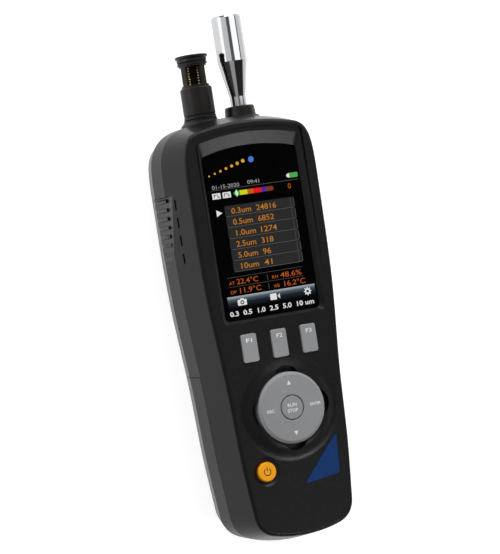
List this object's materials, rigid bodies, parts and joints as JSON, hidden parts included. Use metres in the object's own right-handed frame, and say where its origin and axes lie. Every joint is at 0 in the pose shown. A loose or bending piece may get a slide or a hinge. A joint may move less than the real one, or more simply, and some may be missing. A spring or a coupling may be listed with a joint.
{
  "type": "airborne particle counter",
  "caption": "Handheld airborne particle counter with colour display, polished inlet nozzle, twist-out humidity sensor, rocking direction disc and sprung keys.",
  "frame": {"origin": "on the surface it lies on, under the middle of the whole instrument's box", "axes": "+Z out of the display, +Y along the length towards the sensors, +X to the right of the display"},
  "size_m": [0.0752, 0.24, 0.057],
  "materials": {
    "housing": "fine moulded texture",
    "housing_back": "fine moulded texture",
    "key_grey": "satin",
    "power_amber": "satin",
    "overlay_blue": "printed film",
    "display_glass": "clear hard-coated window, black printed border",
    "lcd_metal": "display module can",
    "rubber_black": "matt",
    "rubber_grey": "silicone",
    "mesh_dark": "woven dust screen",
    "contact_metal": "plated",
    "pack_wrap": "shrink wrap",
    "foam_black": "foam",
    "screw_steel": "zinc plated",
    "bush_brass": "turned",
    "board_green": "solder mask",
    "part_black": "moulded",
    "camera_glass": "clear window, black border",
    "sensor_black": "satin moulded",
    "screen_gold": "woven screen",
    "nozzle_steel": "mirror polished stainless steel",
    "tube_silicone": "translucent silicone",
    "chamber_black": "black anodised",
    "laser_brass": "turned",
    "motor_steel": "drawn can",
    "filter_white": "moulded",
    "socket_steel": "tin plated"
  },
  "bodies": {
    "housing": {"front_shell": "housing", "back_shell": "housing_back", "battery_door": "housing_back", "vent_mesh_left": "mesh_dark", "vent_mesh_right": "mesh_dark", "corner_overlay": "overlay_blue", "display_lens": "display_glass", "lcd_module": "lcd_metal", "keypad_mat": "rubber_grey", "dome_switches": "contact_metal", "battery_pack": "pack_wrap", "battery_pad": "foam_black", "battery_contacts": "contact_metal", "battery_door_screw": "screw_steel", "housing_screws": "screw_steel", "board_screws": "screw_steel", "tripod_bush": "bush_brass", "main_board": "board_green", "sounder": "part_black", "camera_window": "camera_glass", "camera_module": "part_black", "sensor_guide": "sensor_black", "inlet_nozzle": "nozzle_steel", "nozzle_o_ring": "rubber_black", "nozzle_collar": "sensor_black", "inlet_tube": "tube_silicone", "outlet_tube": "tube_silicone", "optical_chamber": "chamber_black", "laser_module": "laser_brass", "light_trap": "chamber_black", "photodetector_board": "board_green", "pump_head": "part_black", "pump_motor": "motor_steel", "pump_cradle": "rubber_grey", "exhaust_filter": "filter_white", "port_board": "board_green", "usb_socket": "socket_steel", "card_socket": "socket_steel", "power_socket": "part_black"},
    "key_f1": {"f_key_1": "key_grey"},
    "key_f2": {"f_key_2": "key_grey"},
    "key_f3": {"f_key_3": "key_grey"},
    "rocker": {"disc_rocker": "rubber_grey"},
    "disc": {"direction_disc": "key_grey"},
    "key_run_stop": {"run_stop_key": "key_grey"},
    "key_power": {"power_button": "power_amber"},
    "sleeve": {"sensor_sleeve": "sensor_black"},
    "cage": {"sensor_cage": "sensor_black", "sensor_screen": "screen_gold", "sensor_board": "board_green"},
    "cover": {"port_cover": "rubber_black"}
  },
  "joints": [
    {"name": "f1_press", "type": "slide", "parent": "housing", "child": "key_f1", "axis": [0, 0, -1], "range_m": [0, 0.0008], "stiffness_N_per_m": 900, "springref_m": -0.0003},
    {"name": "f2_press", "type": "slide", "parent": "housing", "child": "key_f2", "axis": [0, 0, -1], "range_m": [0, 0.0008], "stiffness_N_per_m": 900, "springref_m": -0.0003},
    {"name": "f3_press", "type": "slide", "parent": "housing", "child": "key_f3", "axis": [0, 0, -1], "range_m": [0, 0.0008], "stiffness_N_per_m": 900, "springref_m": -0.0003},
    {"name": "run_stop_press", "type": "slide", "parent": "housing", "child": "key_run_stop", "axis": [0, 0, -1], "range_m": [0, 0.0008], "stiffness_N_per_m": 900, "springref_m": -0.0003},
    {"name": "power_press", "type": "slide", "parent": "housing", "child": "key_power", "axis": [0, 0, -1], "range_m": [0, 0.0008], "stiffness_N_per_m": 900, "springref_m": -0.0003},
    {"name": "disc_up_down", "type": "hinge", "parent": "housing", "child": "rocker", "pos_m": [0, -0.0598, 0.053], "axis": [1, 0, 0], "range_deg": [-2, 2], "stiffness_Nm_per_rad": 0.9},
    {"name": "disc_left_right", "type": "hinge", "parent": "rocker", "child": "disc", "pos_m": [0, -0.0598, 0.053], "axis": [0, 1, 0], "range_deg": [-2, 2], "stiffness_Nm_per_rad": 0.9},
    {"name": "sleeve_turn", "type": "hinge", "parent": "housing", "child": "sleeve", "pos_m": [-0.0103, 0.083, 0.0275], "axis": [0, 1, 0], "range_deg": [0, 90]},
    {"name": "cage_retract", "type": "slide", "parent": "housing", "child": "cage", "axis": [0, -1, 0], "range_m": [0, 0.009]},
    {"name": "cover_open", "type": "hinge", "parent": "housing", "child": "cover", "pos_m": [0.0368, -0.007, 0.035], "axis": [0, -1, 0], "range_deg": [0, 100]}
  ],
  "couplings": [
    {"joint": "sleeve_turn", "follows": "cage_retract", "rad_per_m": 174.53}
  ]
}
